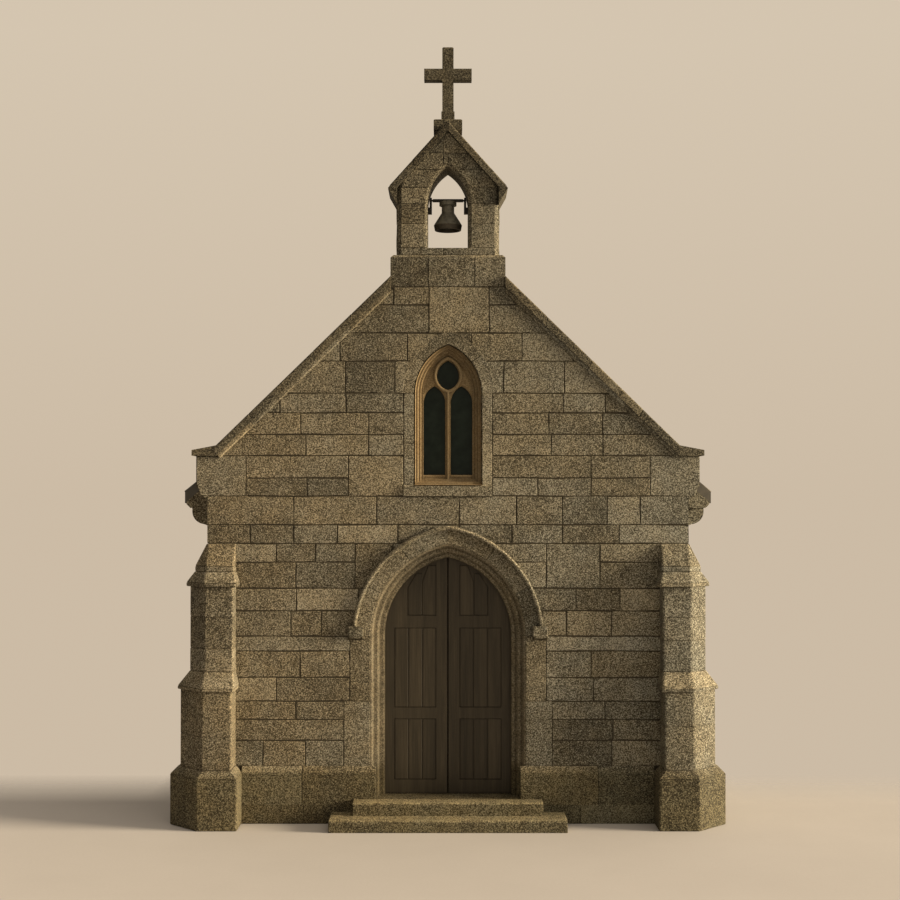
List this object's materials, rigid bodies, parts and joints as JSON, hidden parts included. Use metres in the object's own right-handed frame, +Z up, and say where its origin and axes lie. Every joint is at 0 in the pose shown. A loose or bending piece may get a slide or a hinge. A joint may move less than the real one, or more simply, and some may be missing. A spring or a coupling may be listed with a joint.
{
  "type": "small stone chapel",
  "caption": "Small gabled granite chapel with an arched boarded doorway, a pointed traceried window, clasping buttresses and an open bellcote with a swinging bell.",
  "frame": {"origin": "at ground level, at the middle of the plan's box", "axes": "+X to the right of the front, +Y from the door to the rear, +Z up"},
  "size_m": [6.908, 9.045, 9.8309],
  "materials": {
    "granite": "squared granite, dressed faces",
    "dressed_granite": "moulded granite dressings",
    "slate": "riven slate",
    "oak": "weathered dark oak",
    "iron": "forged black iron",
    "glass": "dark leaded glass",
    "bell_bronze": "dark weathered bell bronze"
  },
  "bodies": {
    "chapel": {"floor_slab": "granite", "threshold": "granite", "lower_step": "granite", "upper_step": "granite", "front_plinth": "granite", "side_plinths": "granite", "rear_plinth": "granite", "front_wall_left": "granite", "front_wall_right": "granite", "front_gable": "granite", "side_wall_left": "granite", "side_wall_right": "granite", "side_piers": "granite", "side_wall_heads": "granite", "rear_wall": "granite", "buttress_front_left": "granite", "buttress_front_right": "granite", "buttress_rear_left": "granite", "buttress_rear_right": "granite", "kneelers": "granite", "eaves_left": "granite", "eaves_right": "granite", "bellcote_base": "granite", "bellcote_piers": "granite", "bellcote_head": "granite", "door_jambs": "dressed_granite", "door_arch": "dressed_granite", "hood_mould": "dressed_granite", "front_window_surround": "dressed_granite", "rear_window_surround": "dressed_granite", "front_window_tracery": "dressed_granite", "rear_window_tracery": "dressed_granite", "side_window_surrounds": "dressed_granite", "side_window_frames": "dressed_granite", "front_copings": "dressed_granite", "rear_coping": "dressed_granite", "bellcote_coping": "dressed_granite", "saddle_stone": "dressed_granite", "cross": "dressed_granite", "ridge": "dressed_granite", "roof_left": "slate", "roof_right": "slate", "door_pintles": "iron", "bell_bearings": "iron", "front_window_glass": "glass", "rear_window_glass": "glass", "side_window_glass": "glass"},
    "left_door": {"left_door_frame": "oak", "left_door_boards": "oak", "left_door_bands": "iron"},
    "right_door": {"right_door_frame": "oak", "right_door_boards": "oak", "right_door_bands": "iron"},
    "bell": {"bell": "bell_bronze", "bell_headstock": "iron", "bell_clapper": "iron"}
  },
  "joints": [
    {"name": "left_door_hinge", "type": "hinge", "parent": "chapel", "child": "left_door", "pos_m": [-0.84, -3.5805, 0.449], "axis": [0, 0, 1], "range_deg": [0, 90]},
    {"name": "right_door_hinge", "type": "hinge", "parent": "chapel", "child": "right_door", "pos_m": [0.84, -3.5805, 0.449], "axis": [0, 0, -1], "range_deg": [0, 90]},
    {"name": "bell_swing", "type": "hinge", "parent": "chapel", "child": "bell", "pos_m": [0, -3.6575, 7.873], "axis": [1, 0, 0], "range_deg": [-35, 35]}
  ]
}
